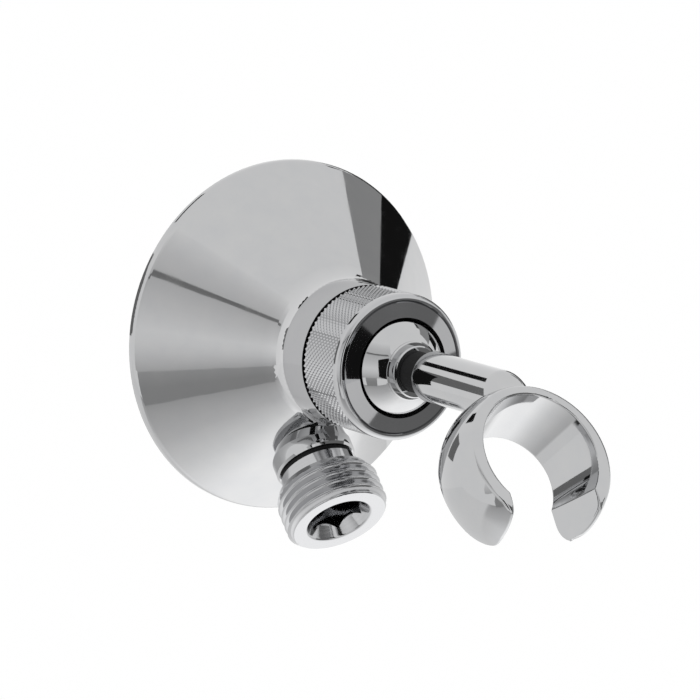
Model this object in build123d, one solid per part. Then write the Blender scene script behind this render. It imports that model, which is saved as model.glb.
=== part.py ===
"""Wall water outlet with a ball-jointed fork that holds a hand shower.

Millimetres. The wall plane is Y = 0, the front points to -Y and Z is up.
A depth is a distance in front of the wall plane, so it runs along -Y.
"""

import math
import os

from build123d import *

# Threads: hose and wall ends G 1/2, nipple stem G 1/4, inlet stem M18
hose_thread_r = 20.955 / 2
thread_depth = 1.16
thread_pitch = 1.814
thread_flank = 27.5
thread_lead = 0.9
stem_thread_r = 13.157 / 2
inlet_ledge = 1.4775

# Bell
bell_r = 35.0
rim_edge = 1.69
rim_round = 1.9
flank_angle = 45.0
shell_wall = 3.0
neck_fillet = 3.5
neck_step = 1.75
gasket_width = 2.2
gasket_depth = 1.2
rim_land = 1.1
rim_lip = 0.8
hub_wall = 8.5
chamber_wall = 2.5
chamber_skin = 5.0
chamber_inset = 6.75
neck_length = 8.51

# Ball joint
ball_r = 11.0
shoulder_reach = 7.9
spigot_reach = 2.9
spigot_wall = 1.5
nut_wall = 1.85
nut_round = 1.2
lip_height = 6.1
lip_wall = 1.7
nut_slope = 0.7
groove_width = 0.4
groove_depth = 0.35
groove_inset = 0.25
seat_wall = 0.9
seat_reach = 4.3
seat_hole_r = 4.4
slip_ring_reach = 0.6
slip_ring_wall = 0.85
collar_r = 5.8
collar_reach = 9.8
collar_step = 1.5
collar_step_r = 5.1
stud_r = 3.0
spacer_r = 4.0
spacer_length = 5.1
stud_length = 12.0

# Fork arm
rod_r = 4.9
rod_length = 38.4
scoop_length = 13.2
scoop_r = 4.2
scoop_sink = 0.9
brow_round = 3.0
cradle_drop = 8.3
cradle_tilt = 36.0
cradle_mouth_r = 12.25
cradle_small_r = 9.9
cradle_length = 14.0
upper_face_r = 14.49862062
head_drop = 0.6
slot_near = 19.0
slot_far = 16.4
tip_reach = 13.8
tip_flat = 4.0
fork_round = 0.5
lip_round = 1.0

# Hose outlet
outlet_inset = 12.605
outlet_length = 15.563
outlet_angle = 45.0
head_length = 9.1
outlet_collar_r = 7.8
outlet_collar = 3.15
boss_wall = 1.5
key_size = 10.0
mouth_r = 6.65
mouth_round = 0.7
mouth_angle = 30.0
stem_length = 9.0
stem_bore_r = 4.5
duct_r = 5.0
duct_length = 6.0
key_stop = 0.6
hole_run_out = 1.0
thread_rise = 2.088

# Wall inlet and backflow valve
inlet_length = 14.0
inlet_engagement = 6.5
inlet_bore_r = 5.8
inlet_relief = 1.2
inlet_shoulder = 0.6
inlet_run_out = 0.5
valve_r = 7.0
valve_inset = 0.9
valve_lip = 1.8
valve_length = 15.9
valve_bore_r = 5.7
valve_seat_r = 4.0
valve_guide_t = 2.2
poppet_r = 4.9
poppet_seal_r = 4.3
poppet_lift_off = 1.1
poppet_head = 1.5
poppet_nose = 0.9
poppet_lip = 0.15
stem_stop = 0.5
spoke_width = 1.2
guide_rim = 1.0
guide_hub_wall = 0.65
guide_stem_r = 1.0
seal_wire_r = 0.5
spring_r = 1.75
spring_wire_r = 0.25
spring_turns = 5

# Clearances and seals
ball_fit = 0.04
slide_fit = 0.05
thread_fit = 0.06
face_gap = 0.05
nut_gap = 0.45
lip_gap = 0.55
washer_t = 1.0
washer_inset = 0.5
edge_break = 0.4
small_edge = 0.25


def turned(*points):
    """Solid turned about the wall axis from (radius, depth) points."""
    outline = Polyline(*[(r, -d) for r, d in points], close=True)
    return revolve(make_face(outline), Axis.Y)


def bar(r, start, end):
    """Round bar on the wall axis between two depths."""
    return turned((0, start), (r, start), (r, end), (0, end))


def ring(r_in, r_out, start, end):
    """Plain ring on the wall axis between two depths."""
    return turned((r_in, start), (r_out, start), (r_out, end), (r_in, end))


def rubber_ring(r_mid, r_wire, depth):
    """Round-section ring on the wall axis."""
    return revolve(Pos(r_mid, -depth) * Circle(r_wire), Axis.Y)


def ball_space(gap):
    """Sphere round the ball's centre, larger than the ball by a gap."""
    return Pos(0, -ball_depth, 0) * Sphere(ball_r + gap)


def turned_on(plane, *points):
    """Solid turned about a plane's normal from (radius, height) points."""
    outline = Polyline(*[(r, 0, z) for r, z in points], close=True)
    return plane * revolve(make_face(outline), Axis.Z)


def thread_grooves(plane, foot, end):
    """Rings that part a G 1/2 thread's ridges, a pitch apart from its free end to its foot."""
    half_width = thread_depth * math.tan(math.radians(thread_flank))
    heights = [end - thread_pitch * i for i in range(int((end - foot) / thread_pitch) + 1)]
    return [
        turned_on(
            plane,
            (hose_thread_r - thread_depth, height),
            (hose_thread_r, height - half_width),
            (hose_thread_r, height + half_width),
        )
        for height in heights
    ]


def cradle_cone(gap):
    """Conical bore of the fork about Z, larger in radius by a gap."""
    return turned_on(
        Plane.XY,
        (0, 0),
        (cradle_mouth_r + gap, 0),
        (cradle_small_r + gap, -cradle_length),
        (0, -cradle_length),
    )


def round_edges(solid, r, depth):
    """Circles of a given radius on the wall axis at a given depth."""
    circles = solid.edges().filter_by(GeomType.CIRCLE)
    return [e for e in circles if abs(e.radius - r) < 0.01 and abs(e.arc_center.Y + depth) < 0.01]


# Bell sizes, from the rim to the ball
slope = math.tan(math.radians(flank_angle))
seat_bore_r = ball_r - slide_fit
spigot_r = seat_bore_r + spigot_wall
neck_r = spigot_r + neck_step
neck_foot = rim_edge + (bell_r - neck_r) / slope
shoulder_depth = neck_foot + neck_length
ball_depth = shoulder_depth + shoulder_reach
spigot_depth = ball_depth - spigot_reach
shell_step = shell_wall / math.cos(math.radians(flank_angle))
chamber_step = chamber_skin / math.cos(math.radians(flank_angle))
inlet_thread_r = hose_thread_r - inlet_ledge
hub_r = inlet_thread_r + hub_wall
chamber_r = hub_r - chamber_wall
chamber_floor = inlet_engagement + hole_run_out
chamber_side = rim_edge + (bell_r - chamber_step - chamber_r) / slope
chamber_top_r = neck_r - chamber_inset
chamber_top = chamber_side + (chamber_r - chamber_top_r) / slope
gasket_r = bell_r - rim_land - gasket_width
hollow_r = gasket_r - rim_lip
hollow_side = rim_edge + (bell_r - shell_step - hollow_r) / slope
hollow_top = rim_edge + (bell_r - shell_step - hub_r) / slope

# Ball joint sizes, from the ball outwards
nut_bore_r = spigot_r + thread_fit
nut_r = nut_bore_r + nut_wall
seat_floor = ball_depth - ball_r - seat_wall
seat_top = ball_depth - seat_reach
nut_back = shoulder_depth + nut_gap
nut_front = ball_depth + lip_height
nut_edge = nut_front - nut_slope
slip_r = ball_r + slip_ring_wall
slip_seat = nut_front - lip_wall
groove_r = nut_r - nut_round - groove_inset
lip_r = math.sqrt((ball_r + lip_gap) ** 2 - lip_height ** 2)
collar_front = ball_depth + collar_reach
step_front = collar_front + collar_step
rod_depth = step_front + spacer_length
cradle_depth = rod_depth + rod_length

# Outlet heights, measured from the hose end towards the bell
outlet_turn = math.radians(outlet_angle)
outlet_axis = (0, -math.cos(outlet_turn), -math.sin(outlet_turn))
outlet_foot_r = bell_r - outlet_inset
outlet_foot = rim_edge + (bell_r - outlet_foot_r) / slope
outlet_depth = outlet_foot + outlet_length * math.cos(outlet_turn)
outlet_drop = outlet_foot_r + outlet_length * math.sin(outlet_turn)
outlet = Plane((0, -outlet_depth, -outlet_drop), x_dir=(1, 0, 0), z_dir=outlet_axis)
collar_back = -head_length - outlet_collar
boss_end = collar_back - washer_t
boss_r = stem_thread_r + thread_fit + boss_wall
stem_end = collar_back - stem_length
duct_end = stem_end - duct_length

# Inlet depths
inlet_seal = inlet_shoulder + washer_t
nipple_front = inlet_engagement + inlet_run_out
valve_back = valve_inset - inlet_length
valve_front = valve_back + valve_length
seat_start = valve_back + valve_lip
seat_end = seat_start + valve_bore_r - valve_seat_r
guide_back = valve_front - valve_guide_t
poppet_seal_depth = seat_start + poppet_lift_off
poppet_front = poppet_seal_depth + poppet_head

# Bell body: flange, hub, outlet boss and ball spigot in one casting
bell = turned(
    (0, 0),
    (bell_r, 0),
    (bell_r, rim_edge),
    (neck_r, neck_foot),
    (neck_r, shoulder_depth),
    (spigot_r, shoulder_depth),
    (spigot_r, spigot_depth),
    (0, spigot_depth),
)
bell = fillet(round_edges(bell, neck_r, neck_foot), neck_fillet)
bell = fillet(round_edges(bell, bell_r, rim_edge), rim_round)
bell = chamfer(round_edges(bell, spigot_r, spigot_depth), edge_break)
bell = chamfer(round_edges(bell, bell_r, 0), edge_break / 2)
bell -= turned(
    (hub_r, 0),
    (hollow_r, 0),
    (hollow_r, hollow_side),
    (hub_r, hollow_top),
)
bell -= ring(gasket_r, gasket_r + gasket_width, 0, gasket_depth)
boss = turned_on(
    outlet,
    (0, duct_end - boss_wall),
    (boss_r, duct_end - boss_wall),
    (boss_r, boss_end - edge_break),
    (boss_r - edge_break, boss_end),
    (0, boss_end),
)
behind_wall = Pos(0, bell_r, 0) * Box(4 * bell_r, 2 * bell_r, 4 * bell_r)
bell += boss - behind_wall
bell -= turned(
    (0, chamber_floor),
    (chamber_r, chamber_floor),
    (chamber_r, chamber_side),
    (chamber_top_r, chamber_top),
    (0, chamber_top),
)
bell -= bar(inlet_thread_r + thread_fit, 0, chamber_floor)
bell -= bar(hose_thread_r + inlet_relief, 0, inlet_seal)
bell -= bar(seat_bore_r, seat_floor, spigot_depth)
bell -= turned_on(outlet, (0, duct_end), (duct_r, duct_end), (duct_r, boss_end), (0, boss_end))
bell -= turned_on(
    outlet,
    (0, stem_end - hole_run_out),
    (stem_thread_r + thread_fit, stem_end - hole_run_out),
    (stem_thread_r + thread_fit, boss_end),
    (0, boss_end),
)

# Foam gasket in the rim
wall_gasket = ring(gasket_r + face_gap, gasket_r + gasket_width - face_gap, 0, gasket_depth - face_gap)

# Inlet nipple, screwed into the hub and sealed on its shoulder
inlet_nipple = turned(
    (0, -inlet_length),
    (hose_thread_r - thread_lead, -inlet_length),
    (hose_thread_r, thread_lead - inlet_length),
    (hose_thread_r, inlet_shoulder),
    (inlet_thread_r, inlet_shoulder),
    (inlet_thread_r, nipple_front - edge_break),
    (inlet_thread_r - edge_break, nipple_front),
    (0, nipple_front),
)
inlet_nipple -= thread_grooves(-Plane.XZ, inlet_relief, inlet_length - 2 * thread_lead)
inlet_nipple -= bar(valve_r + slide_fit, -inlet_length, valve_front + face_gap)
inlet_nipple -= bar(inlet_bore_r, valve_front, nipple_front)
inlet_washer = ring(
    inlet_thread_r + slide_fit,
    hose_thread_r - slide_fit,
    inlet_shoulder + face_gap,
    inlet_seal - face_gap,
)

# Backflow valve cartridge in the nipple
valve_cage = turned(
    (valve_seat_r, valve_back),
    (valve_r, valve_back),
    (valve_r, valve_front),
    (valve_bore_r, valve_front),
    (valve_bore_r, seat_end),
    (valve_seat_r, seat_start),
)
cage_seal_depth = valve_back + valve_lip / 2
cage_seal_r = valve_r - 2 * seal_wire_r
valve_cage -= ring(
    cage_seal_r,
    valve_r,
    cage_seal_depth - seal_wire_r - face_gap,
    cage_seal_depth + seal_wire_r + face_gap,
)
cage_seal = rubber_ring(cage_seal_r + seal_wire_r + face_gap / 2, seal_wire_r, cage_seal_depth)
hub_hole_r = guide_stem_r + slide_fit
hub_outer_r = spring_r + guide_hub_wall
valve_guide = ring(valve_bore_r - guide_rim, valve_bore_r - slide_fit, guide_back, valve_front)
valve_guide += ring(hub_hole_r, hub_outer_r, guide_back, valve_front)
spoke_length = valve_bore_r - guide_rim - hub_outer_r + edge_break
for turn in (90, 210, 330):
    spoke = Box(spoke_length, valve_guide_t, spoke_width)
    spoke = Pos((valve_bore_r - guide_rim + hub_outer_r) / 2, 0, 0) * spoke
    valve_guide += Pos(0, -(guide_back + valve_front) / 2, 0) * Rot(0, turn, 0) * spoke
poppet_core_r = poppet_seal_r - seal_wire_r - face_gap
valve_poppet = turned(
    (0, poppet_seal_depth - poppet_nose),
    (poppet_core_r + poppet_lip, poppet_seal_depth - poppet_nose),
    (poppet_core_r + poppet_lip, poppet_seal_depth - seal_wire_r - face_gap),
    (poppet_core_r, poppet_seal_depth - seal_wire_r - face_gap),
    (poppet_core_r, poppet_seal_depth + seal_wire_r + face_gap),
    (poppet_r, poppet_seal_depth + seal_wire_r + face_gap),
    (poppet_r, poppet_front),
    (guide_stem_r, poppet_front),
    (guide_stem_r, valve_front - stem_stop),
    (0, valve_front - stem_stop),
)
poppet_seal = rubber_ring(poppet_seal_r, seal_wire_r, poppet_seal_depth)
coil_start = poppet_front + spring_wire_r + face_gap
coil_end = guide_back - spring_wire_r - face_gap
coil_height = coil_end - coil_start
coil = Helix(coil_height / spring_turns, coil_height, spring_r)
coil_section = Plane(coil @ 0, z_dir=coil % 0) * Circle(spring_wire_r)
poppet_spring = Pos(0, -coil_start, 0) * Rot(90, 0, 0) * sweep(coil_section, coil)

# Hose nipple: hose thread, plain collar, key socket and threaded stem
key_floor = key_stop - head_length
mouth_depth = mouth_r / math.tan(math.radians(mouth_angle))
outlet_nipple = turned_on(
    outlet,
    (0, stem_end),
    (stem_thread_r - edge_break, stem_end),
    (stem_thread_r, stem_end + edge_break),
    (stem_thread_r, collar_back),
    (outlet_collar_r - edge_break / 2, collar_back),
    (outlet_collar_r, collar_back + edge_break / 2),
    (outlet_collar_r, -head_length),
    (hose_thread_r - thread_depth, -head_length),
    (hose_thread_r, thread_rise - head_length),
    (hose_thread_r, -thread_lead),
    (hose_thread_r - thread_lead, 0),
    (0, 0),
)
outlet_nipple -= thread_grooves(outlet, thread_depth + thread_rise - head_length, -2 * thread_lead)
outlet_nipple -= turned_on(
    outlet,
    (0, stem_end),
    (stem_bore_r, stem_end),
    (stem_bore_r, key_floor),
    (0, key_floor),
)
outlet_nipple -= turned_on(outlet, (0, -mouth_depth), (mouth_r, 0), (0, 0))
mouth_edges = outlet_nipple.edges().filter_by(GeomType.CIRCLE)
outlet_nipple = fillet([e for e in mouth_edges if abs(e.radius - mouth_r) < 0.01], mouth_round)
key_socket = extrude(RegularPolygon(key_size / 2, 6, major_radius=False), -key_floor)
outlet_nipple -= outlet * Pos(0, 0, key_floor) * key_socket
outlet_washer = turned_on(
    outlet,
    (stem_thread_r + slide_fit, boss_end + face_gap),
    (outlet_collar_r - washer_inset, boss_end + face_gap),
    (outlet_collar_r - washer_inset, collar_back - face_gap),
    (stem_thread_r + slide_fit, collar_back - face_gap),
)

# Plain bearings on both sides of the ball
ball_seat = ring(seat_hole_r, seat_bore_r - slide_fit, seat_floor + face_gap, seat_top)
ball_seat -= ball_space(ball_fit)
slip_ring = ring(lip_r - lip_wall, slip_r, ball_depth + slip_ring_reach, slip_seat - face_gap)
slip_ring -= ball_space(ball_fit)

# Clamp nut with its grooved and sloping front face
clamp_nut = turned(
    (0, nut_back),
    (nut_r - edge_break, nut_back),
    (nut_r, nut_back + edge_break),
    (nut_r, nut_edge),
    (groove_r + groove_width / 2, nut_edge),
    (groove_r, nut_edge - groove_depth),
    (groove_r - groove_width / 2, nut_edge),
    (lip_r, nut_front),
    (0, nut_front),
)
clamp_nut = fillet(round_edges(clamp_nut, nut_r, nut_edge), nut_round)
clamp_nut -= bar(nut_bore_r, nut_back, spigot_depth + 2 * slip_ring_reach)
clamp_nut -= bar(slip_r + slide_fit, nut_back, slip_seat)
clamp_nut -= ball_space(lip_gap)
clamp_nut -= bar(lip_r, slip_seat, nut_front + lip_wall)

# Ball with its stepped collar and threaded stud, and the sleeve between collar and rod
swivel_ball = ball_space(0)
swivel_ball += turned(
    (0, ball_depth),
    (collar_r, ball_depth),
    (collar_r, collar_front - small_edge),
    (collar_r - small_edge, collar_front),
    (collar_step_r, collar_front),
    (collar_step_r, step_front - small_edge),
    (collar_step_r - small_edge, step_front),
    (stud_r, step_front),
    (stud_r, rod_depth + stud_length),
    (0, rod_depth + stud_length),
)
rod_spacer = ring(stud_r + slide_fit, spacer_r, step_front + face_gap, rod_depth - face_gap)

# Fork arm: round rod that runs into a split ring with a conical bore
cradle_turn = math.radians(cradle_tilt)
cradle_axis = (0, -math.cos(cradle_turn), math.sin(cradle_turn))
cradle = Plane((0, -cradle_depth, -cradle_drop), x_dir=(1, 0, 0), z_dir=cradle_axis)
head_r = math.hypot(upper_face_r, cradle_length / 2)
tip_round = (cradle_length - tip_flat) / 2
slab_height = 2 * head_r + tip_reach
ring_slab = Box(4 * head_r, slab_height, cradle_length)
ring_slab = Pos(0, slab_height / 2 - tip_reach, -cradle_length / 2) * ring_slab
tip_edges = ring_slab.edges().filter_by(Axis.X).sort_by(Axis.Y)[:2]
fork_arm = Pos(0, -head_drop, -cradle_length / 2) * Sphere(head_r)
fork_arm &= fillet(tip_edges, tip_round)
fork_arm -= cradle_cone(0)
slot_taper = (slot_near - slot_far) / 2 / cradle_length
slot_outline = Polyline(
    (-slot_near / 2 - slot_taper, 1),
    (slot_near / 2 + slot_taper, 1),
    (slot_far / 2 - slot_taper, -cradle_length - 1),
    (slot_taper - slot_far / 2, -cradle_length - 1),
    close=True,
)
fork_arm -= extrude(Plane.XZ * make_face(slot_outline), 2 * head_r)
lip_edges = fork_arm.edges().filter_by(GeomType.CIRCLE).group_by(Axis.Z)[-1]
fork_arm = fillet(lip_edges.sort_by(SortBy.RADIUS)[-1], lip_round)
edge_places = [(e, e.center()) for e in fork_arm.edges()]
lip_low = -1.2 * lip_round
inner_r = cradle_mouth_r + 1.2 * fork_round
sharp_edges = [e for e, at in edge_places if at.Z < lip_low or math.hypot(at.X, at.Y) < inner_r]
fork_arm = fillet(sharp_edges, fork_round)
fork_arm = cradle * fork_arm
rod = bar(rod_r, rod_depth, cradle_depth)
rod = chamfer(round_edges(rod, rod_r, rod_depth), edge_break)
rod -= cradle * Pos(0, 0, head_r - lip_round / 2) * Box(4 * head_r, 4 * head_r, 2 * head_r)
scoop_low = upper_face_r - head_drop - scoop_sink
scoop_front = cradle_depth - scoop_low * math.sin(cradle_turn)
scoop_foot = scoop_low * math.cos(cradle_turn) - cradle_drop
scoop_back = cradle_depth - scoop_length
scoop_run = scoop_front - scoop_back
scoop_rise = rod_r - scoop_foot
scoop_chord = math.hypot(scoop_run, scoop_rise)
scoop_lift = math.sqrt(scoop_r ** 2 - scoop_chord ** 2 / 4) / scoop_chord
scoop_depth = (scoop_front + scoop_back) / 2 + scoop_lift * scoop_rise
scoop_height = (rod_r + scoop_foot) / 2 + scoop_lift * scoop_run
rod -= Pos(0, -scoop_depth, scoop_height) * Rot(0, 90, 0) * Cylinder(scoop_r, 4 * rod_r)
rod -= cradle * cradle_cone(fork_round)
fork_arm += rod
fork_arm = fillet(fork_arm.edges().sort_by(Axis.Z)[-1], brow_round)
fork_arm -= bar(stud_r + slide_fit, rod_depth, rod_depth + stud_length + hole_run_out)

nodes = {
    "bell_body": bell,
    "wall_gasket": wall_gasket,
    "inlet_nipple": inlet_nipple,
    "inlet_washer": inlet_washer,
    "valve_cage": valve_cage,
    "cage_seal": cage_seal,
    "valve_guide": valve_guide,
    "valve_poppet": valve_poppet,
    "poppet_seal": poppet_seal,
    "poppet_spring": poppet_spring,
    "outlet_nipple": outlet_nipple,
    "outlet_washer": outlet_washer,
    "ball_seat": ball_seat,
    "slip_ring": slip_ring,
    "clamp_nut": clamp_nut,
    "swivel_ball": swivel_ball,
    "rod_spacer": rod_spacer,
    "fork_arm": fork_arm,
}

os.makedirs("parts", exist_ok=True)
for name, shape in nodes.items():
    export_step(shape, f"parts/{name}.step")
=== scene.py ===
import math

import bmesh
import bpy
from mathutils import Matrix, Vector


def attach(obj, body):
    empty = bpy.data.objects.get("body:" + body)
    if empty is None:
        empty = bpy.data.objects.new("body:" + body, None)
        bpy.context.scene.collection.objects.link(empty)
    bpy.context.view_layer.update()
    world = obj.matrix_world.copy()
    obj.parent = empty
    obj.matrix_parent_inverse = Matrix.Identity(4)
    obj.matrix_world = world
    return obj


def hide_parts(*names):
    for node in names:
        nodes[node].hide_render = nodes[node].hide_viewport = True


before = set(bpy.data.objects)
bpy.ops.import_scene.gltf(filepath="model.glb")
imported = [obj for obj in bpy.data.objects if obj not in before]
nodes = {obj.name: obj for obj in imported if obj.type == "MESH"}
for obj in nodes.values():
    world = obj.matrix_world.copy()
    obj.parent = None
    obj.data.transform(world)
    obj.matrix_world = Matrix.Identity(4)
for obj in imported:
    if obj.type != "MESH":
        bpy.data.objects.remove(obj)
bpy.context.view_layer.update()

MM = 0.001


# Frames of the turned pieces: heights run away from the wall, and out of the hose nipple
WALL_OUTWARD = (0, -1, 0)
HOSE_OUTWARD = (0, -math.sqrt(0.5), -math.sqrt(0.5))
HOSE_END = (0, -25.3, -33.4)


def turning_frame(origin, outward):
    """Frame whose Z axis is a turned piece's own axis, in metres."""
    z_axis = Vector(outward).normalized()
    x_axis = Vector((1, 0, 0))
    y_axis = z_axis.cross(x_axis)
    axes = Matrix((x_axis, y_axis, z_axis)).transposed().to_4x4()
    return Matrix.Translation(Vector(origin) * MM) @ axes @ Matrix.Scale(MM, 4)


wall_axis = turning_frame((0, 0, 0), WALL_OUTWARD)
hose_axis = turning_frame(HOSE_END, HOSE_OUTWARD)


# Materials: sockets of a Mix node, which has one set of them for numbers and one for colours
FACTOR = 0
VALUE_A, VALUE_B = 2, 3
COLOUR_A, COLOUR_B = 6, 7
MIXED_COLOUR = 2


def linear(hex_code):
    """An sRGB hex colour as linear red, green, blue and alpha."""
    parts = [int(hex_code[i:i + 2], 16) / 255 for i in (1, 3, 5)]
    return [c / 12.92 if c <= 0.04045 else ((c + 0.055) / 1.055) ** 2.4 for c in parts] + [1.0]


def add(tree, kind, values=None, **settings):
    """Adds a node with its settings. Each value is set on an input, or linked to it."""
    node = tree.nodes.new(kind)
    for name, value in settings.items():
        setattr(node, name, value)
    for key, value in (values or {}).items():
        if isinstance(value, bpy.types.NodeSocket):
            tree.links.new(value, node.inputs[key])
        else:
            node.inputs[key].default_value = value
    return node


def per_metre(size_mm):
    """Noise scale that gives features of a size in millimetres."""
    return 1 / (size_mm * MM)


def empty_material(name):
    """A material with nothing in its tree yet."""
    material = bpy.data.materials.new(name)
    material.use_nodes = True
    material.node_tree.nodes.clear()
    return material, material.node_tree


def piece_material(name):
    """A material and its tree, with a point's place on its own piece, so that patterns move with it."""
    material, tree = empty_material(name)
    return material, tree, add(tree, "ShaderNodeTexCoord").outputs["Object"]


def end_in_surface(tree, values):
    """Ends a material's tree in the surface that these values give."""
    shader = add(tree, "ShaderNodeBsdfPrincipled", values)
    add(tree, "ShaderNodeOutputMaterial", {"Surface": shader.outputs[0]})


def buffed_plate(tree, place):
    """Colour, roughness and normal of bright chrome plate over buffed brass: a grey mirror, with the
    long soft ripple that buffing leaves and a faint haze that varies over a few millimetres."""
    haze = add(tree, "ShaderNodeTexNoise", {"Vector": place, "Scale": per_metre(4.0), "Detail": 3.0})
    tint = add(tree, "ShaderNodeMix", {
        FACTOR: haze.outputs["Fac"], COLOUR_A: linear("#BABBBD"), COLOUR_B: linear("#C2C2C2"),
    }, data_type="RGBA")
    polish = add(tree, "ShaderNodeMapRange", {
        "Value": haze.outputs["Fac"], "From Min": 0.3, "From Max": 0.7, "To Min": 0.03, "To Max": 0.075,
    })
    ripple = add(tree, "ShaderNodeTexNoise", {"Vector": place, "Scale": per_metre(7.0), "Detail": 1.0})
    wave = add(tree, "ShaderNodeBump", {
        "Height": ripple.outputs["Fac"], "Strength": 1.0, "Distance": 0.012 * MM,
    })
    return tint.outputs[MIXED_COLOUR], polish.outputs[0], wave.outputs[0]


def polished_chrome():
    """Chrome plate that is bright all over, as on the ball and the fork."""
    material, tree, place = piece_material("polished_chrome_plate")
    colour, roughness, normal = buffed_plate(tree, place)
    end_in_surface(tree, {"Metallic": 1.0, "Base Color": colour, "Roughness": roughness, "Normal": normal})
    return material


# Zones of the bell, by depth from the wall, and by radius plus depth, which is even along its flank
# Depths over which the neck's painted highlight fades in: its colour is made lighter there
NECK_START = 20.0
NECK_FULL = 25.0
# Depth beyond which the shoulder behind the nut is painted near black, as painted shade
PAINTED_SHADE_START = 30.97
HOLLOW_REACH = 34.0


def bell_chrome():
    """Bright chrome plate outside, with a painted highlight on the neck, whose colour is made lighter so
    that its reflection is brighter. The hollow back is plated but unpolished, a sandy, dull grey with a
    breath of brass where the plating is thin. The shoulder behind the nut is painted near black, as painted
    shade."""
    material, tree, place = piece_material("chrome_plated_brass_casting")
    axes = add(tree, "ShaderNodeSeparateXYZ", {"Vector": place})
    across = add(tree, "ShaderNodeCombineXYZ", {"X": axes.outputs["X"], "Y": axes.outputs["Z"]})
    radius = add(tree, "ShaderNodeVectorMath", {0: across.outputs[0]}, operation="LENGTH")
    reach = add(tree, "ShaderNodeMath", {0: radius.outputs["Value"], 1: axes.outputs["Y"]},
                operation="SUBTRACT")
    inside = add(tree, "ShaderNodeMath", {0: reach.outputs[0], 1: HOLLOW_REACH * MM},
                 operation="LESS_THAN").outputs[0]
    neck = add(tree, "ShaderNodeMapRange", {
        "Value": axes.outputs["Y"], "From Min": -NECK_START * MM, "From Max": -NECK_FULL * MM,
    })
    # Painted shade: marks the shoulder in the gap behind the nut
    painted_shade_mask = add(tree, "ShaderNodeMath", {0: axes.outputs["Y"], 1: -PAINTED_SHADE_START * MM},
                  operation="LESS_THAN")
    bright, polish, wave = buffed_plate(tree, place)
    # Painted highlight: the neck takes a lighter colour, so that its reflection is brighter
    plate_with_painted_highlight = add(tree, "ShaderNodeMix", {
        FACTOR: neck.outputs[0], COLOUR_A: bright, COLOUR_B: linear("#D2D2D3"),
    }, data_type="RGBA")
    sand = add(tree, "ShaderNodeTexNoise", {"Vector": place, "Scale": per_metre(0.35), "Detail": 4.0})
    raw = add(tree, "ShaderNodeMix", {
        FACTOR: sand.outputs["Fac"], COLOUR_A: linear("#8F8A7C"), COLOUR_B: linear("#B0AA98"),
    }, data_type="RGBA")
    plated = add(tree, "ShaderNodeMix", {
        FACTOR: inside, COLOUR_A: plate_with_painted_highlight.outputs[MIXED_COLOUR], COLOUR_B: raw.outputs[MIXED_COLOUR],
    }, data_type="RGBA")
    # Painted shade: near black on the shoulder behind the nut
    colour = add(tree, "ShaderNodeMix", {
        FACTOR: painted_shade_mask.outputs[0], COLOUR_A: plated.outputs[MIXED_COLOUR], COLOUR_B: linear("#1C1C1C"),
    }, data_type="RGBA")
    dull = add(tree, "ShaderNodeMapRange", {"Value": sand.outputs["Fac"], "To Min": 0.4, "To Max": 0.6})
    gloss = add(tree, "ShaderNodeMix", {FACTOR: inside, VALUE_A: polish, VALUE_B: dull.outputs[0]},
                data_type="FLOAT")
    grit = add(tree, "ShaderNodeBump", {
        "Height": sand.outputs["Fac"], "Strength": inside, "Distance": 0.08 * MM, "Normal": wave,
    })
    end_in_surface(tree, {
        "Metallic": 1.0, "Base Color": colour.outputs[MIXED_COLOUR], "Roughness": gloss.outputs[0],
        "Normal": grit.outputs[0],
    })
    return material


def turned_metal(name, axis, colours, roughness, groove_mm, groove_depth_mm):
    """Metal straight from the lathe: fine turning lines run round the axis, so highlights are drawn
    out across them, and the tone drifts a little from line to line. Real lines lie about a tenth of a
    millimetre apart, and they are drawn wider here, so that they show."""
    material, tree, place = piece_material(name)
    along = add(tree, "ShaderNodeVectorMath", {0: place, 1: axis}, operation="DOT_PRODUCT")
    lines = add(tree, "ShaderNodeTexNoise", {
        "W": along.outputs["Value"], "Scale": per_metre(groove_mm), "Detail": 2.0,
    }, noise_dimensions="1D").outputs["Fac"]
    tint = add(tree, "ShaderNodeMix", {
        FACTOR: lines, COLOUR_A: linear(colours[0]), COLOUR_B: linear(colours[1]),
    }, data_type="RGBA")
    gloss = add(tree, "ShaderNodeMapRange", {"Value": lines, "To Min": roughness[0], "To Max": roughness[1]})
    ridges = add(tree, "ShaderNodeBump", {
        "Height": lines, "Strength": 1.0, "Distance": groove_depth_mm * MM,
    })
    end_in_surface(tree, {
        "Metallic": 1.0, "Base Color": tint.outputs[MIXED_COLOUR], "Roughness": gloss.outputs[0],
        "Normal": ridges.outputs[0],
    })
    return material


def moulded(name, colours, roughness, grain_mm, grain_depth_mm, shine=0.5):
    """A moulded plastic or rubber: nearly even colour, and the fine texture of the mould's skin."""
    material, tree, place = piece_material(name)
    grain = add(tree, "ShaderNodeTexNoise", {
        "Vector": place, "Scale": per_metre(grain_mm), "Detail": 3.0,
    }).outputs["Fac"]
    tint = add(tree, "ShaderNodeMix", {
        FACTOR: grain, COLOUR_A: linear(colours[0]), COLOUR_B: linear(colours[1]),
    }, data_type="RGBA")
    gloss = add(tree, "ShaderNodeMapRange", {"Value": grain, "To Min": roughness[0], "To Max": roughness[1]})
    skin = add(tree, "ShaderNodeBump", {
        "Height": grain, "Strength": 0.6, "Distance": grain_depth_mm * MM,
    })
    end_in_surface(tree, {
        "Base Color": tint.outputs[MIXED_COLOUR], "Roughness": gloss.outputs[0],
        "Normal": skin.outputs[0], "Specular IOR Level": shine,
    })
    return material


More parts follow.
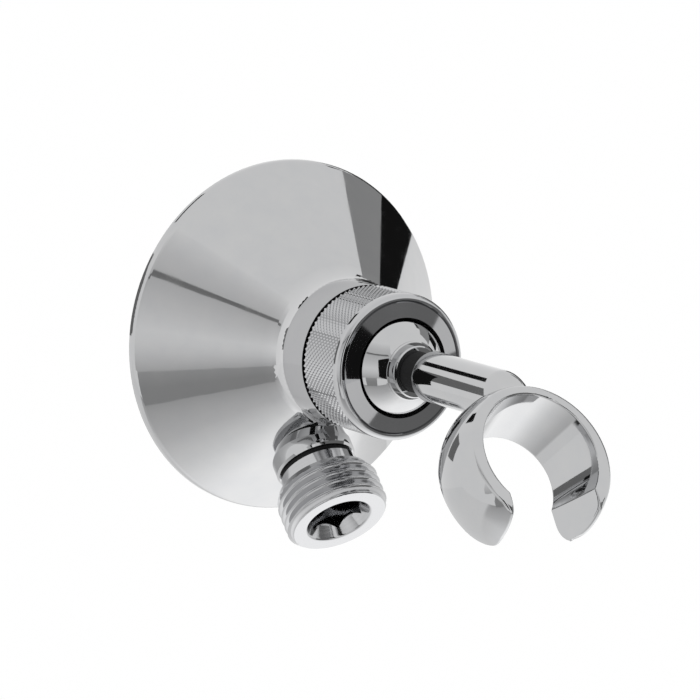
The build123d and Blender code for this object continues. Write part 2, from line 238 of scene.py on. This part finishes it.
def closed_cell_foam():
    """Die-cut polyethylene foam: a matt grey with the round open skins of cut cells."""
    material, tree, place = piece_material("closed_cell_foam")
    cells = add(tree, "ShaderNodeTexVoronoi", {
        "Vector": place, "Scale": per_metre(0.55),
    }).outputs["Distance"]
    tint = add(tree, "ShaderNodeMix", {
        FACTOR: cells, COLOUR_A: linear("#6E7073"), COLOUR_B: linear("#8B8D90"),
    }, data_type="RGBA")
    pits = add(tree, "ShaderNodeBump", {"Height": cells, "Strength": 0.8, "Distance": 0.15 * MM})
    end_in_surface(tree, {
        "Base Color": tint.outputs[MIXED_COLOUR], "Roughness": 0.9, "Normal": pits.outputs[0],
    })
    return material


chrome = polished_chrome()
casting = bell_chrome()
foam = closed_cell_foam()

# Chrome plate on turned and knurled brass: a grey mirror, a little softer than the buffed pieces
hose_chrome = turned_metal("turned_chrome_plate", HOSE_OUTWARD, ("#B8B9BB", "#C2C2C3"),
                           roughness=(0.07, 0.13), groove_mm=0.5, groove_depth_mm=0.0002)
knurl_chrome = turned_metal("knurled_chrome_plate", WALL_OUTWARD, ("#B6B7B9", "#C0C0C1"),
                            roughness=(0.04, 0.09), groove_mm=0.6, groove_depth_mm=0.0002)

# Bare brass: warm yellow and satin, with its turning lines plain to see
brass = turned_metal("turned_brass", WALL_OUTWARD, ("#B8934A", "#CFAE66"),
                     roughness=(0.22, 0.34), groove_mm=0.15, groove_depth_mm=0.004)

# Stainless wire: grey, with the faint lines that drawing leaves
wire = turned_metal("drawn_stainless_wire", (1, 0, 0), ("#9A9B9C", "#B4B5B6"),
                    roughness=(0.2, 0.3), groove_mm=0.2, groove_depth_mm=0.002)

# Nylon: nearly black, with the satin skin of its mould
nylon = moulded("moulded_black_nylon", ("#161617", "#202021"),
                roughness=(0.38, 0.5), grain_mm=0.3, grain_depth_mm=0.01)

# Acetal: milky white and smooth, with soft highlights
acetal = moulded("moulded_acetal", ("#D0CFCA", "#DEDDD8"),
                 roughness=(0.42, 0.55), grain_mm=0.25, grain_depth_mm=0.01)

# Rubber: a flat black that takes hardly any highlight
rubber = moulded("moulded_black_rubber", ("#141415", "#1E1E1F"),
                 roughness=(0.55, 0.75), grain_mm=0.2, grain_depth_mm=0.03, shine=0.15)

FINISHES = {
    "bell_body": casting,
    "swivel_ball": chrome,
    "fork_arm": chrome,
    "valve_cage": acetal,
    "valve_guide": acetal,
    "valve_poppet": acetal,
    "ball_seat": nylon,
    "slip_ring": nylon,
    "inlet_washer": rubber,
    "outlet_washer": rubber,
    "rod_spacer": rubber,
    "cage_seal": rubber,
    "poppet_seal": rubber,
    "wall_gasket": foam,
    "poppet_spring": wire,
}
for node_name, finish in FINISHES.items():
    for material_slot in nodes[node_name].material_slots:
        material_slot.material = finish


# Turned pieces with threads and knurl. All their sizes are in millimetres.

def turned_piece(name, rows, place, around, finish):
    """A closed skin through rows of points. A row gives its radius and height at an angle."""
    skin = bmesh.new()
    rings = []
    for row in rows:
        ring = []
        for step in range(around):
            angle = math.tau * step / around
            radius, height = row(angle) if callable(row) else row
            point = Vector((radius * math.cos(angle), radius * math.sin(angle), height))
            ring.append(skin.verts.new(place @ point))
        rings.append(ring)
    for lower, upper in zip(rings, rings[1:] + rings[:1]):
        for step in range(around):
            skin.faces.new((lower[step - 1], lower[step], upper[step], upper[step - 1]))
    bmesh.ops.recalc_face_normals(skin, faces=skin.faces)
    mesh = bpy.data.meshes.new(name)
    skin.to_mesh(mesh)
    skin.free()
    mesh.materials.append(finish)
    piece = bpy.data.objects.new(name, mesh)
    bpy.context.scene.collection.objects.link(piece)
    return piece


def crease(piece, degrees):
    """Smooth faces, with sharp edges where they meet at more than an angle."""
    piece.data.shade_smooth()
    piece.data.set_sharp_from_angle(angle=math.radians(degrees))


def spread(start, end, count):
    """Evenly spaced values, both ends included."""
    return [start + (end - start) * step / count for step in range(count + 1)]


def between(points, at):
    """Value on a line through (place, value) points."""
    for (a, low), (b, high) in zip(points, points[1:]):
        if at <= b:
            return low + (high - low) * max(0.0, (at - a) / (b - a))
    return points[-1][1]


THREAD_R = 20.955 / 2
THREAD_PITCH = 1.814
THREAD_DEPTH = 1.162
THREAD_LEAD = 0.9
THREAD_CREASE = 32


def thread_row(height, outline):
    """One row of a right-hand pipe thread with rounded crests and roots, cut off by its blank's outline."""
    def row(angle):
        turns = height / THREAD_PITCH - angle / math.tau
        radius = THREAD_R - THREAD_DEPTH * (0.5 - 0.5 * math.cos(math.tau * turns))
        return min(radius, outline(height)), height
    return row


# Hose nipple: thread, plain collar, and a mouth that narrows into the hexagon key socket
HEAD_BACK = -9.1
HEAD_BACK_R = 9.25
THREAD_RISE = 2.088
THREAD_RISE_DEPTH = 1.16
COLLAR_R = 7.8
COLLAR_BACK = -12.25
COLLAR_EDGE = 0.2
STEM_R = 6.5785
STEM_END = -21.25
STEM_BORE_R = 4.5
EDGE_BREAK = 0.4
KEY_HALF = 5.0
KEY_FLOOR = -8.5
MOUTH_R = 6.65
MOUTH_ANGLE = 30
MOUTH_SLOPE = math.tan(math.radians(MOUTH_ANGLE))
MOUTH_ROUND = 0.7


def key_radius(angle):
    """Distance from the axis to the key socket's wall."""
    turn = (angle % (math.pi / 3)) - math.pi / 6
    return KEY_HALF / math.cos(turn)


def mouth_end(angle):
    """Height at which the mouth's cone meets the key socket's wall."""
    return -(MOUTH_R - key_radius(angle)) / MOUTH_SLOPE


def mouth_row(share):
    """A row of the mouth's cone, from its rounded edge to where it meets the key socket."""
    def row(angle):
        start = -MOUTH_ROUND / 2
        height = start + (mouth_end(angle) - start) * share
        return MOUTH_R + height * MOUTH_SLOPE, height
    return row


def key_row(share):
    """A row of the key socket's wall, from the mouth to its floor."""
    def row(angle):
        start = mouth_end(angle)
        return key_radius(angle), start + (KEY_FLOOR - start) * share
    return row


def hose_blank(height):
    """Outline of the nipple's head before its thread is cut."""
    return between([
        (HEAD_BACK, THREAD_R - THREAD_RISE_DEPTH),
        (HEAD_BACK + THREAD_RISE, THREAD_R),
        (-THREAD_LEAD, THREAD_R),
        (0, THREAD_R - THREAD_LEAD),
    ], height)


mouth_turn = math.radians(90 - MOUTH_ANGLE)
mouth_tangent = MOUTH_ROUND / math.tan(mouth_turn)
mouth_arc = [
    (MOUTH_R + mouth_tangent - MOUTH_ROUND * math.sin(turn), MOUTH_ROUND * (math.cos(turn) - 1))
    for turn in spread(0, mouth_turn, count=6)
]
nipple_rows = [
    (STEM_BORE_R, STEM_END),
    (STEM_R - EDGE_BREAK, STEM_END),
    (STEM_R, STEM_END + EDGE_BREAK),
    (STEM_R, COLLAR_BACK),
    (COLLAR_R - COLLAR_EDGE, COLLAR_BACK),
    (COLLAR_R, COLLAR_BACK + COLLAR_EDGE),
    (COLLAR_R, HEAD_BACK),
    (HEAD_BACK_R, HEAD_BACK),
]
nipple_rows += [thread_row(height, hose_blank) for height in spread(HEAD_BACK, 0, count=182)]
nipple_rows += mouth_arc
nipple_rows += [mouth_row(share) for share in spread(0.05, 1, count=8)]
nipple_rows += [key_row(share) for share in spread(0.1, 1, count=6)]
nipple_rows += [(STEM_BORE_R, KEY_FLOOR)]
hose_nipple = turned_piece("hose_nipple_threaded", nipple_rows, hose_axis, around=216, finish=hose_chrome)
crease(hose_nipple, THREAD_CREASE)
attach(hose_nipple, "wall_outlet")
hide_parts("outlet_nipple")


# Wall nipple: the same thread towards the wall fitting, and a plain end in the bell's hub
WALL_END = -14
WALL_RELIEF = -1.2
WALL_SHOULDER = 0.6
WALL_SHOULDER_R = 9.4
HUB_R = 9.0
HUB_END = 7.0
INLET_BORE_R = 5.8
CARTRIDGE_R = 7.05
CARTRIDGE_STOP = 2.85


def wall_blank(height):
    """Outline of the wall nipple before its thread is cut."""
    return between([
        (WALL_END, THREAD_R - THREAD_LEAD),
        (WALL_END + THREAD_LEAD, THREAD_R),
        (WALL_RELIEF, THREAD_R),
        (WALL_SHOULDER, WALL_SHOULDER_R),
    ], height)


wall_rows = [(CARTRIDGE_R, WALL_END)]
wall_rows += [thread_row(height, wall_blank) for height in spread(WALL_END, WALL_SHOULDER, count=240)]
wall_rows += [
    (HUB_R, WALL_SHOULDER),
    (HUB_R, HUB_END - EDGE_BREAK),
    (HUB_R - EDGE_BREAK, HUB_END),
    (INLET_BORE_R, HUB_END),
    (INLET_BORE_R, CARTRIDGE_STOP),
    (CARTRIDGE_R, CARTRIDGE_STOP),
]
wall_nipple = turned_piece("wall_nipple_threaded", wall_rows, wall_axis, around=144, finish=brass)
crease(wall_nipple, THREAD_CREASE)
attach(wall_nipple, "wall_outlet")
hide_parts("inlet_nipple")


# Clamp nut: the turned blank, with a groove in its front and a hollow lip round the ball
NUT_R = 14.36
NUT_ROUND = 1.2
NUT_BACK = 31.45
NUT_FRONT = 44.3
NUT_BORE_R = 12.51
NUT_THREAD_END = 37.2
GROOVE_R = 12.91
GROOVE_HALF = 0.2
GROOVE_DEPTH = 0.35
BALL_DEPTH = 38.9
LIP_HOLLOW_R = 11.55
LIP_FRONT = 6.1
LIP_BACK = 4.4
RING_BORE_R = 11.9
NUT_CREASE = 28

# The knurl round its grip: low pyramids that stand on a thinner band and reach the full radius
GRIP_R = 13.9
GRIP_START = 31.75
GRIP_END = 42.35
GRIP_EDGE = 0.2
GRIP_RISE = 0.25
TEETH_ROUND = 82
ROW_STEP = 0.55
TOOTH_FLAT = 0.14
TOOTH_SINK = 0.02

edge_arc = [
    (NUT_R - NUT_ROUND + NUT_ROUND * math.cos(turn), NUT_FRONT - NUT_ROUND + NUT_ROUND * math.sin(turn))
    for turn in spread(0, math.pi / 2, count=8)
]
lip_arc = [
    (math.sqrt(LIP_HOLLOW_R ** 2 - rise ** 2), BALL_DEPTH + rise)
    for rise in spread(LIP_FRONT, LIP_BACK, count=4)
]
nut_rows = [
    (NUT_BORE_R, NUT_BACK),
    (GRIP_R - GRIP_EDGE, NUT_BACK),
    (GRIP_R, NUT_BACK + GRIP_EDGE),
    (GRIP_R, GRIP_END),
    (NUT_R, GRIP_END + GRIP_RISE),
]
nut_rows += edge_arc
nut_rows += [
    (GROOVE_R + GROOVE_HALF, NUT_FRONT),
    (GROOVE_R, NUT_FRONT - GROOVE_DEPTH),
    (GROOVE_R - GROOVE_HALF, NUT_FRONT),
]
nut_rows += lip_arc
nut_rows += [
    (RING_BORE_R, BALL_DEPTH + LIP_BACK),
    (RING_BORE_R, NUT_THREAD_END),
    (NUT_BORE_R, NUT_THREAD_END),
]
nut = turned_piece("clamp_nut_knurled", nut_rows, wall_axis, around=192, finish=knurl_chrome)


def diamond_knurl():
    """Geometry nodes that set rows of low pyramids round a turned grip, each row half a tooth on."""
    tree = bpy.data.node_groups.new("diamond_knurl", "GeometryNodeTree")
    tree.interface.new_socket("Blank", in_out="INPUT", socket_type="NodeSocketGeometry")
    for name in ("Grip Radius", "Crest Radius", "Start", "Row Step", "Tooth Flat"):
        tree.interface.new_socket(name, in_out="INPUT", socket_type="NodeSocketFloat")
    for name in ("Teeth Round", "Rows"):
        tree.interface.new_socket(name, in_out="INPUT", socket_type="NodeSocketInt")
    tree.interface.new_socket("Finish", in_out="INPUT", socket_type="NodeSocketMaterial")
    tree.interface.new_socket("Knurled", in_out="OUTPUT", socket_type="NodeSocketGeometry")
    given = add(tree, "NodeGroupInput").outputs

    # Each tooth's row and angle, from its number
    index = add(tree, "GeometryNodeInputIndex").outputs[0]
    total = add(tree, "ShaderNodeMath", {0: given["Teeth Round"], 1: given["Rows"]},
                operation="MULTIPLY").outputs[0]
    row = add(tree, "ShaderNodeMath", {0: index, 1: given["Teeth Round"]}, operation="DIVIDE").outputs[0]
    row = add(tree, "ShaderNodeMath", {0: row}, operation="FLOOR").outputs[0]
    tooth = add(tree, "ShaderNodeMath", {0: row, 1: 0.5, 2: index}, operation="MULTIPLY_ADD").outputs[0]
    step = add(tree, "ShaderNodeMath", {0: math.tau, 1: given["Teeth Round"]},
               operation="DIVIDE").outputs[0]
    angle = add(tree, "ShaderNodeMath", {0: tooth, 1: step}, operation="MULTIPLY").outputs[0]

    # Its foot on the grip, and the way it points
    cosine = add(tree, "ShaderNodeMath", {0: angle}, operation="COSINE").outputs[0]
    sine = add(tree, "ShaderNodeMath", {0: angle}, operation="SINE").outputs[0]
    outward = add(tree, "ShaderNodeCombineXYZ", {"X": cosine, "Z": sine}).outputs[0]
    depth = add(tree, "ShaderNodeMath", {0: row, 1: given["Row Step"], 2: given["Start"]},
                operation="MULTIPLY_ADD").outputs[0]
    along = add(tree, "ShaderNodeCombineXYZ", {"Y": depth}).outputs[0]
    foot = add(tree, "ShaderNodeVectorMath", {0: outward, "Scale": given["Grip Radius"]},
               operation="SCALE").outputs[0]
    place = add(tree, "ShaderNodeVectorMath", {0: foot, 1: along}, operation="SUBTRACT").outputs[0]
    points = add(tree, "GeometryNodePoints", {"Count": total, "Position": place})
    facing = add(tree, "FunctionNodeAxesToRotation", {
        "Primary Axis": outward, "Secondary Axis": (0, 1, 0),
    }, primary_axis="Z", secondary_axis="Y")

    # The tooth itself, sized to meet its neighbours
    height = add(tree, "ShaderNodeMath", {0: given["Crest Radius"], 1: given["Grip Radius"]},
                 operation="SUBTRACT").outputs[0]
    width = add(tree, "ShaderNodeMath", {0: given["Crest Radius"], 1: step}, operation="MULTIPLY").outputs[0]
    half_width = add(tree, "ShaderNodeMath", {0: width, 1: 0.5}, operation="MULTIPLY").outputs[0]
    size = add(tree, "ShaderNodeCombineXYZ", {"X": half_width, "Y": given["Row Step"], "Z": height})
    pyramid = add(tree, "GeometryNodeMeshCone", {
        "Vertices": 4, "Side Segments": 1, "Radius Top": given["Tooth Flat"], "Radius Bottom": 1.0,
        "Depth": 1.0,
    })
    teeth = add(tree, "GeometryNodeInstanceOnPoints", {
        "Points": points.outputs[0], "Instance": pyramid.outputs["Mesh"],
        "Rotation": facing.outputs[0], "Scale": size.outputs[0],
    })
    joined = add(tree, "GeometryNodeJoinGeometry", {"Geometry": given["Blank"]})
    tree.links.new(teeth.outputs[0], joined.inputs[0])
    real = add(tree, "GeometryNodeRealizeInstances", {"Geometry": joined.outputs[0]})
    finished = add(tree, "GeometryNodeSetMaterial", {
        "Geometry": real.outputs[0], "Material": given["Finish"],
    })
    add(tree, "NodeGroupOutput", {"Knurled": finished.outputs[0]})
    return tree


knurling = nut.modifiers.new("knurl", "NODES")
knurling.node_group = diamond_knurl()
knurl_sizes = {
    "Grip Radius": (GRIP_R - TOOTH_SINK) * MM,
    "Crest Radius": NUT_R * MM,
    "Start": (GRIP_START + ROW_STEP / 2) * MM,
    "Row Step": ROW_STEP * MM,
    "Tooth Flat": TOOTH_FLAT,
    "Teeth Round": TEETH_ROUND,
    "Rows": int((GRIP_END - GRIP_START) / ROW_STEP),
    "Finish": knurl_chrome,
}
for item in knurling.node_group.interface.items_tree:
    if item.in_out == "INPUT" and item.name in knurl_sizes:
        knurling[item.identifier] = knurl_sizes[item.name]
shaped = nut.evaluated_get(bpy.context.evaluated_depsgraph_get())
knurled_mesh = bpy.data.meshes.new_from_object(shaped)
nut.modifiers.clear()
nut.data = knurled_mesh
crease(nut, NUT_CREASE)
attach(nut, "nut")
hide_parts("clamp_nut")


# Studio: white room, pale floor, and cards that show only in the metal. Its sizes are in metres.
CENTRE = Vector((0, -0.045, 0))
NEAR_RING = 2.6
FAR_RING = 3.0
BLACK = 0.01


def card_glow():
    """A card's own brightness, from the levels at its corners."""
    material, tree = empty_material("studio_card")
    level = add(tree, "ShaderNodeAttribute", attribute_name="level")
    glow = add(tree, "ShaderNodeEmission", {"Strength": level.outputs["Fac"]})
    add(tree, "ShaderNodeOutputMaterial", {"Surface": glow.outputs[0]})
    return material


card_paint = card_glow()


def direction(azimuth, elevation):
    """Unit vector from the object, azimuth from the front towards the right."""
    a = math.radians(azimuth)
    e = math.radians(elevation)
    return Vector((math.sin(a) * math.cos(e), -math.cos(a) * math.cos(e), math.sin(e)))


def hang_card(name, corners, levels):
    """A card on a grid of points, with a brightness at each, seen only in reflections."""
    mesh = bpy.data.meshes.new(name)
    width = len(corners[0])
    flat = [point for line in corners for point in line]
    faces = [
        (r * width + c, r * width + c + 1, (r + 1) * width + c + 1, (r + 1) * width + c)
        for r in range(len(corners) - 1)
        for c in range(width - 1)
    ]
    mesh.from_pydata(flat, [], faces)
    attribute = mesh.attributes.new("level", "FLOAT", "POINT")
    attribute.data.foreach_set("value", [level for line in levels for level in line])
    mesh.materials.append(card_paint)
    card = bpy.data.objects.new(name, mesh)
    bpy.context.scene.collection.objects.link(card)
    card.visible_camera = False
    card.visible_diffuse = False
    card.visible_shadow = False


def sky_card(name, azimuths, elevations, levels, distance):
    """A curved card round the object. Its levels run from its lowest to its highest edge."""
    stops = list(zip(spread(*elevations, len(levels) - 1), levels))
    heights = spread(*elevations, count=24)
    sides = spread(*azimuths, count=16)
    corners = [[CENTRE + direction(a, e) * distance for a in sides] for e in heights]
    hang_card(name, corners, [[between(stops, e) for a in sides] for e in heights])


def near_card(name, lower, upper, level):
    """A flat card near the object, from the two ends of its lower and upper edges in millimetres."""
    corners = [[Vector(place) * MM for place in edge] for edge in (lower, upper)]
    hang_card(name, corners, [[level] * 2] * 2)


# Cards far round the object: azimuths and elevations in degrees, levels and distance
sky_card("black_flag_right", (94, 140), (8.5, 22.5), (BLACK, BLACK), NEAR_RING)
sky_card("grey_flag_right", (82, 112), (22.5, 39.2), (0.37, 0.37), NEAR_RING)
sky_card("far_flag_right", (112, 136), (22.5, 30), (0.1, 0.1), NEAR_RING)
sky_card("rim_flag_right", (96, 112), (39.2, 43.5), (0.03, 0.03), NEAR_RING)
sky_card("rail_left", (-78, -30), (22.2, 25.2), (0.26, 0.22), NEAR_RING)
sky_card("upper_left", (-88, -25), (23.4, 46), (0.7, 0.8, 0.97), FAR_RING)
sky_card("lower_left", (-88, -25), (-3, 23.4), (0.97, 0.8, 0.66), FAR_RING)
sky_card("low_left", (-88, -15), (-23, -3), (0.6, 0.74, 0.86, 0.94, 0.97), FAR_RING)
sky_card("dark_band_left", (-75, -50), (-39.5, -23), (0.36, 0.37, 0.45), FAR_RING)
sky_card("front_dark", (2, 62), (-34, 17), (0.2, 0.18, 0.2, 0.2), FAR_RING)
sky_card("front_black", (2, 15), (-12, 9), (BLACK, BLACK), NEAR_RING)
sky_card("front_light", (-6, 22), (-30, -13), (0.8, 0.85), NEAR_RING)
sky_card("front_right_light", (51, 66), (-4, 9), (0.8, 0.8), NEAR_RING)
sky_card("camera_black", (-26, -12), (-20, 20), (BLACK, BLACK), NEAR_RING)

# Small cards behind the rose and beside the ball, which only the rod, the nut and the fork catch
near_card("rod_black", ((-46.1, 60, 61.3), (-65, 60, 88.4)),
          ((-22.5, 60, 72.8), (-31.1, 60, 104.8)), BLACK)
near_card("rod_grey", ((-57, 60, -8), (-110, 60, -8)), ((-57, 60, 42), (-110, 60, 42)), 0.2)
near_card("nut_black", ((-11.5, -52, -3.5), (-7.5, -52, -3.5)), ((-12.8, -52, 4), (-7.5, -52, 4)), BLACK)

# The table under the object: its brightness along and across the light's path, and away from the
# pool under the lamp. Places on it are given in heights of the object above it.
TABLE_DROP = 3
TABLE_PATH = 121
TABLE_LENGTH = (-1.25, 2.4)
TABLE_WIDTH = (-3, 3)
TABLE_STEPS = 60
TABLE_RISE = [(-1.25, 0.5), (-0.65, 0.72), (-0.3, 1.0), (0, 1.38), (0.2, 1.6)]
TABLE_POOL = [(0, 1.52), (0.3, 1.5), (0.4, 1.38), (0.5, 1.3), (0.65, 1.05), (0.8, 0.95), (1.2, 0.8)]
TABLE_BACK = [(-0.7, 0.95), (-0.4, 0.0)]
POOL_ALONG = 0.6
POOL_ACROSS = 0.2
POOL_STRETCH = 1.6


def table_level(along, across):
    """Brightness of the table at a place."""
    away = math.hypot((along - POOL_ALONG) / POOL_STRETCH, across - POOL_ACROSS)
    pool = min(between(TABLE_RISE, along), between(TABLE_POOL, away))
    return max(pool, between(TABLE_BACK, across))


def table_point(along, across):
    """A place on the table, in metres."""
    level_way = direction(TABLE_PATH, 0) * along + direction(TABLE_PATH - 90, 0) * across
    return CENTRE + (level_way - Vector((0, 0, 1))) * TABLE_DROP


table_grid = [
    [(along, across) for across in spread(*TABLE_WIDTH, TABLE_STEPS)]
    for along in spread(*TABLE_LENGTH, TABLE_STEPS)
]
hang_card(
    "table_card",
    [[table_point(*place) for place in line] for line in table_grid],
    [[table_level(*place) for place in line] for line in table_grid],
)

# Floor: white paper, which takes the light and the shadow but stays out of the metal
FLOOR_R = 20.0
FLOOR_DROP = 0.9
floor_mesh = bpy.data.meshes.new("pale_floor")
floor_disc = bmesh.new()
bmesh.ops.create_circle(floor_disc, cap_ends=True, segments=96, radius=FLOOR_R)
bmesh.ops.translate(floor_disc, verts=floor_disc.verts, vec=(0, 0, -FLOOR_DROP))
floor_disc.to_mesh(floor_mesh)
floor_disc.free()
floor_paint, floor_tree = empty_material("white_paper_floor")
paper = add(floor_tree, "ShaderNodeBsdfDiffuse", {"Color": linear("#FFFFFF")})
add(floor_tree, "ShaderNodeOutputMaterial", {"Surface": paper.outputs[0]})
floor_mesh.materials.append(floor_paint)
floor = bpy.data.objects.new("pale_floor", floor_mesh)
bpy.context.scene.collection.objects.link(floor)
floor.visible_glossy = False

# Room: white where it is seen, straight or in the metal, and dimmer as a light
ROOM_SEEN = 1.0
ROOM_LIGHT = 0.75
scene = bpy.context.scene
scene.view_settings.view_transform = "Standard"
room = bpy.data.worlds.new("white_room")
scene.world = room
room.use_nodes = True
room_tree = room.node_tree
room_tree.nodes.clear()
path = add(room_tree, "ShaderNodeLightPath").outputs
seen = add(room_tree, "ShaderNodeMath", {0: path["Is Camera Ray"], 1: path["Is Glossy Ray"]},
           operation="MAXIMUM").outputs[0]
seen = add(room_tree, "ShaderNodeMath", {0: seen, 1: path["Is Transmission Ray"]},
           operation="MAXIMUM").outputs[0]
strength = add(room_tree, "ShaderNodeMapRange", {"Value": seen, "To Min": ROOM_LIGHT, "To Max": ROOM_SEEN})
backdrop = add(room_tree, "ShaderNodeBackground", {
    "Color": linear("#FFFFFF"), "Strength": strength.outputs[0],
})
add(room_tree, "ShaderNodeOutputWorld", {"Surface": backdrop.outputs[0]})

# Soft lamp from above, in front and to the left
lamp = bpy.data.lights.new("soft_key", "SUN")
lamp.energy = 0.96
lamp.angle = math.radians(40)
key = bpy.data.objects.new("soft_key", lamp)
key.rotation_euler = (math.radians(30), math.radians(-20), 0)
key.visible_glossy = False
scene.collection.objects.link(key)

# Camera fitted to the photograph
CAMERA_PLACE = (-569.747, -919.378, 153.134)
CAMERA_AZIMUTH = -32.52
CAMERA_ELEVATION = 8.19
CAMERA_ROLL = math.radians(3.22)
FOCAL_PIXELS = 5487
FRAME_PIXELS = 700
SENSOR_WIDTH = 36.0
right = direction(CAMERA_AZIMUTH + 90, 0)
back = direction(CAMERA_AZIMUTH, CAMERA_ELEVATION)
up = back.cross(right)
image_right = right * math.cos(CAMERA_ROLL) + up * math.sin(CAMERA_ROLL)
image_up = up * math.cos(CAMERA_ROLL) - right * math.sin(CAMERA_ROLL)
image_axes = Matrix((image_right, image_up, back)).transposed().to_4x4()
lens = bpy.data.cameras.new("camera")
lens.sensor_width = SENSOR_WIDTH
lens.lens = SENSOR_WIDTH * FOCAL_PIXELS / FRAME_PIXELS
lens.clip_end = 100
camera = bpy.data.objects.new("camera", lens)
camera.matrix_world = Matrix.Translation(Vector(CAMERA_PLACE) * MM) @ image_axes
scene.collection.objects.link(camera)
scene.camera = camera
